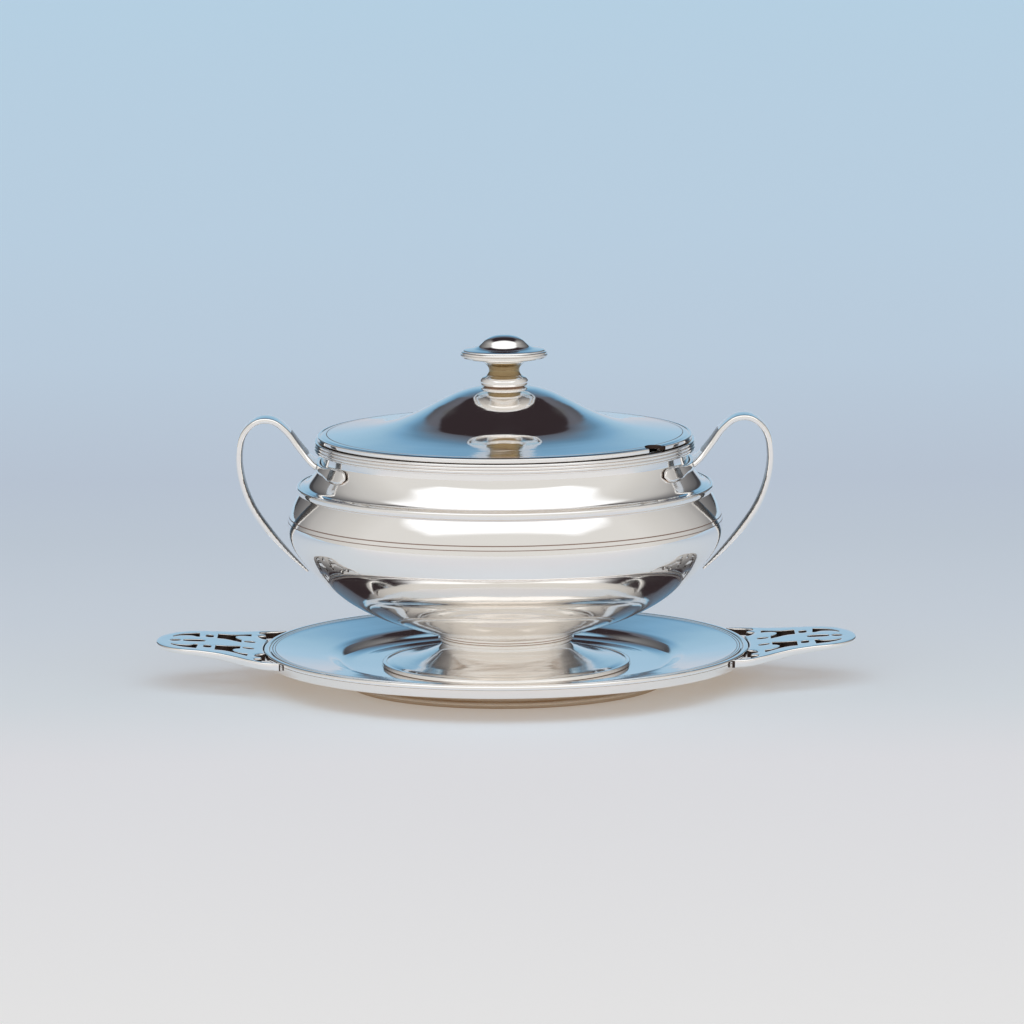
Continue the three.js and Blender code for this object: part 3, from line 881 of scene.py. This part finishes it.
def loop_handle(name, side, material, shaded_side):
    """Strap and arms forged into one, rougher and with painted shade where they face the bowl. Side is 1 for
    +X and -1 for -X.
    """
    bm = bmesh.new()
    for sections in (loop_strap(), throat_arm(1), throat_arm(-1)):
        swept(bm, [[in_frame(*point, side) for point in section] for section in sections])
    mesh = modified(
        made(name, bm),
        ("REMESH", {"mode": "VOXEL", "voxel_size": FORGING * MM}),
        ("SMOOTH", {"factor": 0.5, "iterations": 4}),
    )
    # faces towards the bowl take the dark, rough silver: painted shade
    for face in mesh.polygons:
        limit = SHADE_FACING if face.center.z < SHADE_HEIGHT * MM else SHADE_FACING_ABOVE
        face.material_index = int(-face.normal.x * side > limit)
    finished(name, mesh, "bowl", name, material, shaded_side)


# ---- lid ------------------------------------------------------------------------------------


def lid_cover(material, engraving, shaded_cut_edge):
    edge = rounded([(57.6, 73.9, 0), (59.3, 73.9, 0.3), (59.3, 75.2, 0.45), (58.4, 75.28, 0.3)])
    dome = spline(
        [
            (57.6, 75.36),
            (56.3, 75.5),
            (50, 76.25),
            (45, 76.9),
            (41, 77.55),
            (37.6, 78.3),
            (34.4, 79.2),
            (31.4, 80.35),
            (28.1, 81.8),
            (24.7, 83.5),
            (21.5, 85.2),
            (18.1, 86.9),
            (14.8, 88.4),
            (11, 89.6),
            (8.5, 90.1),
            (7.2, 90.2),
        ]
    )
    top = engraved([*edge, *dome], LID_LINES)
    hole = [Vector((SHANK_HOLE, 90.2)), Vector((SHANK_HOLE, 89))]
    underside = moved(dome, LID_SHEET)[::-1]
    mesh = spun("lid_cover", [*top, *hole, *underside[1:-1]], lines=LID_LINES)
    centre = Vector((math.cos(NOTCH_ANGLE), math.sin(NOTCH_ANGLE))) * NOTCH_CENTRE
    mesh = cut(mesh, arc(centre.x, centre.y, NOTCH_RADIUS, 0, 355, 71), 70, 80)
    for face in mesh.polygons:
        distance = (face.center.to_2d() / MM - centre).length
        # the notch's wall takes the near-black silver: painted shade
        if abs(distance - NOTCH_RADIUS) < 0.05 and abs(face.normal.z) < 0.3:
            face.material_index = 2
    finished("lid_cover", mesh, "lid", "lid_cover", material, engraving, shaded_cut_edge)


def lid_bezel(material):
    outline = rounded([(56.2, 69.6, 0.3), (56.2, 73.9, 0), (55.2, 73.9, 0), (55.2, 69.6, 0.3)])
    gap = [Vector((x, y)) for x, y in ((50, -4.4), (60, -4.4), (60, 4.4), (50, 4.4))]
    turn = Matrix.Rotation(NOTCH_ANGLE, 2)
    mesh = cut(spun("lid_bezel", outline), [turn @ corner for corner in gap], 60, 80)
    finished("lid_bezel", mesh, "lid", "lid_bezel", material)


# ---- finial ---------------------------------------------------------------------------------


def stem(material, dark_waist):
    outline = [
        *rounded([(0, 84.4, 0), (1.8, 84.4, 0.3), (1.8, 90.2, 0)]),
        Vector((6.3, 90.2)),
        Vector((6.6, 90.5)),
        *spline([(7.2, 90.8), (7.6, 91.7), (7.3, 92.6), (6.9, 93.1)]),
        *spline([(6.2, 93.4), (5.3, 94), (4.85, 95), (4.9, 96), (5.5, 97), (6.6, 97.8), (7.4, 98.3)]),
        Vector((7.6, 99.15)),
        *rounded([(1.8, 99.15, 0), (1.8, 101.4, 0.3), (0, 101.4, 0)]),
    ]
    # the waist under the cap is drawn dark brown
    mesh = spun("stem", outline, SMALL_SEGMENTS, darkened=(93.9, 97.7))
    finished("stem", mesh, "lid", "finial_stem", material, dark_waist)


def cap(material):
    under = [Vector((0, 101.7)), Vector((2.1, 101.7)), Vector((2.1, 99.2)), Vector((11.8, 99.2))]
    edge = [
        *spline([(12.6, 99.3), (13.5, 99.7), (13.85, 100.2), (13.75, 100.6)]),
        Vector((13.5, 100.72)),
        *spline([(13.6, 100.85), (13.5, 101.25), (13.25, 101.45)]),
        Vector((12.95, 101.55)),
        *spline([(12.95, 101.7), (12.7, 101.95), (12.2, 102.1)]),
    ]
    dome = spline(
        [
            (11, 102.25),
            (9.6, 102.5),
            (8.3, 103),
            (7.1, 103.95),
            (5.8, 105.1),
            (4.1, 106),
            (2, 106.5),
            (0, 106.6),
        ]
    )
    mesh = spun("cap", [*under, *edge, *dome], SMALL_SEGMENTS)
    finished("cap", mesh, "lid", "finial_cap", material)


def nut(material):
    """A six-sided nut whose corners are turned off at both faces."""
    corners = 48
    face = NUT_RADIUS * math.cos(math.pi / 6)

    def ring(z, radius, flats):
        """A round section, or with flats one that doesn't reach past the nut's six sides."""
        points = []
        for k in range(corners):
            turn = 2 * math.pi * k / corners
            reach = face / math.cos(turn % (math.pi / 3) - math.pi / 6) if flats else radius
            reach = min(reach, radius)
            points.append(in_frame(math.cos(turn) * reach, math.sin(turn) * reach, z))
        return points

    rings = [
        ring(NUT_BOTTOM, SHANK_HOLE, False),
        ring(NUT_BOTTOM, face - 0.1, False),
        ring(NUT_BOTTOM + NUT_CHAMFER, NUT_RADIUS, True),
        ring(NUT_TOP - NUT_CHAMFER, NUT_RADIUS, True),
        ring(NUT_TOP, face - 0.1, False),
        ring(NUT_TOP, SHANK_HOLE, False),
    ]
    bm = bmesh.new()
    loops = [[bm.verts.new(point) for point in points] for points in rings]
    for a, b in zip(loops, [*loops[1:], loops[0]]):
        for k in range(corners):
            n = (k + 1) % corners
            bm.faces.new((a[k], a[n], b[n], b[k]))
    finished("nut", made("nut", bm), "lid", "finial_nut", material, slot="turned_silver")


# ---- scene ----------------------------------------------------------------------------------


def camera():
    """Looks along +Y and down, with the picture leaning very slightly."""
    forward = Vector((0, math.cos(CAMERA_ELEVATION), -math.sin(CAMERA_ELEVATION)))
    level = Vector((1, 0, 0))
    upward = level.cross(forward)
    right = level * math.cos(CAMERA_LEAN) - upward * math.sin(CAMERA_LEAN)
    top = level * math.sin(CAMERA_LEAN) + upward * math.cos(CAMERA_LEAN)
    data = bpy.data.cameras.new("camera")
    data.lens = CAMERA_LENS
    data.sensor_width = 36
    data.clip_end = 100
    eye = bpy.data.objects.new("camera", data)
    turn = Matrix((right, top, -forward)).transposed().to_4x4()
    eye.matrix_world = Matrix.Translation(CAMERA_TARGET - forward * CAMERA_DISTANCE) @ turn
    bpy.context.scene.collection.objects.link(eye)
    bpy.context.scene.camera = eye


def floor():
    bm = bmesh.new()
    bmesh.ops.create_circle(bm, cap_ends=True, segments=96, radius=8)
    mesh = bpy.data.meshes.new("floor")
    bm.to_mesh(mesh)
    bm.free()
    mesh.materials.append(studio_floor())
    sheet = bpy.data.objects.new("floor", mesh)
    bpy.context.scene.collection.objects.link(sheet)


def world():
    """What the silver reflects: a blue backdrop, white boards round the front, a dark ceiling, a panel."""
    studio = bpy.data.worlds.new("studio")
    bpy.context.scene.world = studio
    studio.use_nodes = True
    tree = studio.node_tree
    direction = add_node(tree, "TexCoord").outputs["Generated"]
    axis = add_node(tree, "SeparateXYZ", inputs={"Vector": direction})
    side = axis.outputs["X"]
    back = axis.outputs["Y"]
    height = axis.outputs["Z"]

    def eased(value, edge):
        """0 up to the edge's first value and 1 from its second, smooth between."""
        low, high = edge
        inputs = {0: value, 1: low, 2: high}
        return add_node(tree, "MapRange", interpolation_type="SMOOTHSTEP", inputs=inputs).outputs[0]

    def maths(operation, a, b=0.0):
        return add_node(tree, "Math", operation=operation, inputs={0: a, 1: b}).outputs[0]

    def ramp_of(value, stops):
        """The colour that the stops give for the value."""
        ramp = add_node(tree, "ValToRGB", inputs={0: value})
        set_stops(ramp, stops)
        return ramp.outputs["Color"]

    rise = maths("MAXIMUM", height, LOWEST_RISE)
    across = maths("ABSOLUTE", maths("DIVIDE", side, rise))
    behind = maths("DIVIDE", back, rise)
    level = maths("SQRT", maths("ADD", maths("MULTIPLY", side, side), maths("MULTIPLY", back, back)))
    facing = maths("DIVIDE", back, maths("MAXIMUM", level, LEAST_LEVEL))

    gap = maths("MULTIPLY", eased(facing, GAP_FACING), eased(height, GAP_HEIGHT))
    colour = blended(tree, gap, ramp_of(height, BACKDROP), ramp_of(height, GAP_COLOURS))

    boards = maths("MULTIPLY", eased(facing, BOARD_FACING), eased(height, BOARD_HEIGHT))
    around = add_node(tree, "MapRange", inputs={0: facing, 1: -1.0, 2: 1.0}).outputs[0]
    shades = ramp_of(around, [((turn + 1) / 2, shade) for turn, shade in BOARD_COLOURS])
    colour = blended(tree, boards, colour, shades)

    opening = maths("MULTIPLY", eased(across, OPENING_ACROSS), eased(behind, OPENING_FAR))
    opening = maths("MULTIPLY", opening, eased(behind, OPENING_NEAR))
    colour = blended(tree, opening, colour, OPENING_COLOUR)

    depth = maths("MULTIPLY", eased(behind, PANEL_NEAR), eased(behind, PANEL_FAR))
    flare = maths("MULTIPLY", eased(behind, PANEL_FLARING), -PANEL_FLARE)
    panel = maths("MULTIPLY", eased(maths("ADD", across, flare), PANEL_ACROSS), depth)
    colour = blended(tree, panel, colour, PANEL_COLOUR)
    tree.links.new(colour, tree.nodes["Background"].inputs["Color"])


def main():
    bpy.context.scene.view_settings.view_transform = "Standard"
    bpy.context.scene.cycles.glossy_bounces = GLOSSY_BOUNCES
    polished = silver("polished_silver", (0.975, 0.962, 0.945), 0.03, 0.09)
    # painted shade with tarnish: the foot ring under the plate is dark and brown
    shade_and_tarnish = silver("shade_and_tarnish_silver", (0.57, 0.47, 0.37), 0.1, 0.2)
    line = silver("engraved_silver", (0.56, 0.45, 0.4), 0.25, 0.4, film=0.3)
    # dark brown silver for the finial's waist
    dark_waist = silver("dark_brown_silver", (0.38, 0.28, 0.15), 0.12, 0.25)
    # painted shade: dark, rough silver for the loops' faces towards the bowl
    shaded_side = silver("rough_painted_shade_silver", (0.3, 0.285, 0.275), 0.2, 0.3)
    # painted reflection: the plate's edge wire is tinted warm as if mirroring the warm shadow on the floor
    warm_reflection = silver("painted_warm_reflection_silver", (0.97, 0.93, 0.885), 0.05, 0.12)
    satin = silver("turned_silver", (0.74, 0.72, 0.68), 0.3, 0.45)
    # near-black silver for sawn walls and the lid's notch: tarnish with painted shade
    sawn_and_shaded = silver("sawn_and_shaded_silver", (0.06, 0.042, 0.036), 0.4, 0.6)

    dish(polished, line)
    edge_wire(warm_reflection)
    foot_ring(shade_and_tarnish)
    foot(polished)
    collar(polished)
    bowl(polished, line)
    rim_moulding(polished)
    for name, side in (("right", 1), ("left", -1)):
        tab_handle(f"{name}_tab_handle", side, polished, sawn_and_shaded)
        loop_handle(f"{name}_loop_handle", side, polished, shaded_side)
    lid_cover(polished, line, sawn_and_shaded)
    lid_bezel(polished)
    stem(polished, dark_waist)
    cap(polished)
    nut(satin)

    camera()
    floor()
    world()


main()
